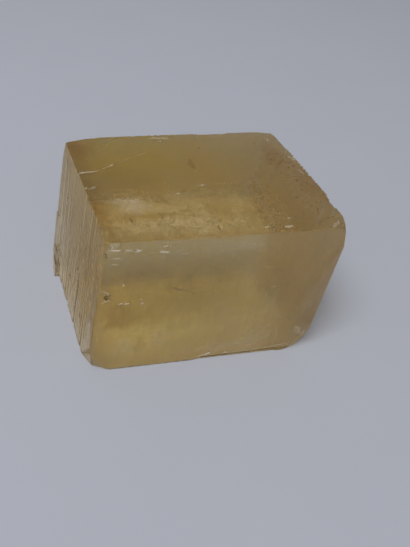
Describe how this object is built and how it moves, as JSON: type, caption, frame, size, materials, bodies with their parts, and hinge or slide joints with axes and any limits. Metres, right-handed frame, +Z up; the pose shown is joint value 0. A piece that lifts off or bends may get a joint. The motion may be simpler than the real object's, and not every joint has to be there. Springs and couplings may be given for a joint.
{
  "type": "calcite crystal specimen",
  "caption": "Honey-coloured calcite cleavage rhomb with a broken corner, split steps and a striated side, lying on a flat cleavage face.",
  "frame": {"origin": "centre of the bounding box on the plane that the crystal rests on", "axes": "+X along the crystal's long edges, +Z up from the cleavage face it lies on, and the tall front face looks towards -Y"},
  "size_m": [0.0692, 0.0486, 0.0331],
  "materials": {
    "honey_calcite": "translucent honey-yellow calcite, hazy inside, dull satin cleavage faces"
  },
  "bodies": {
    "root": {"calcite_crystal": "honey_calcite"}
  },
  "joints": []
}
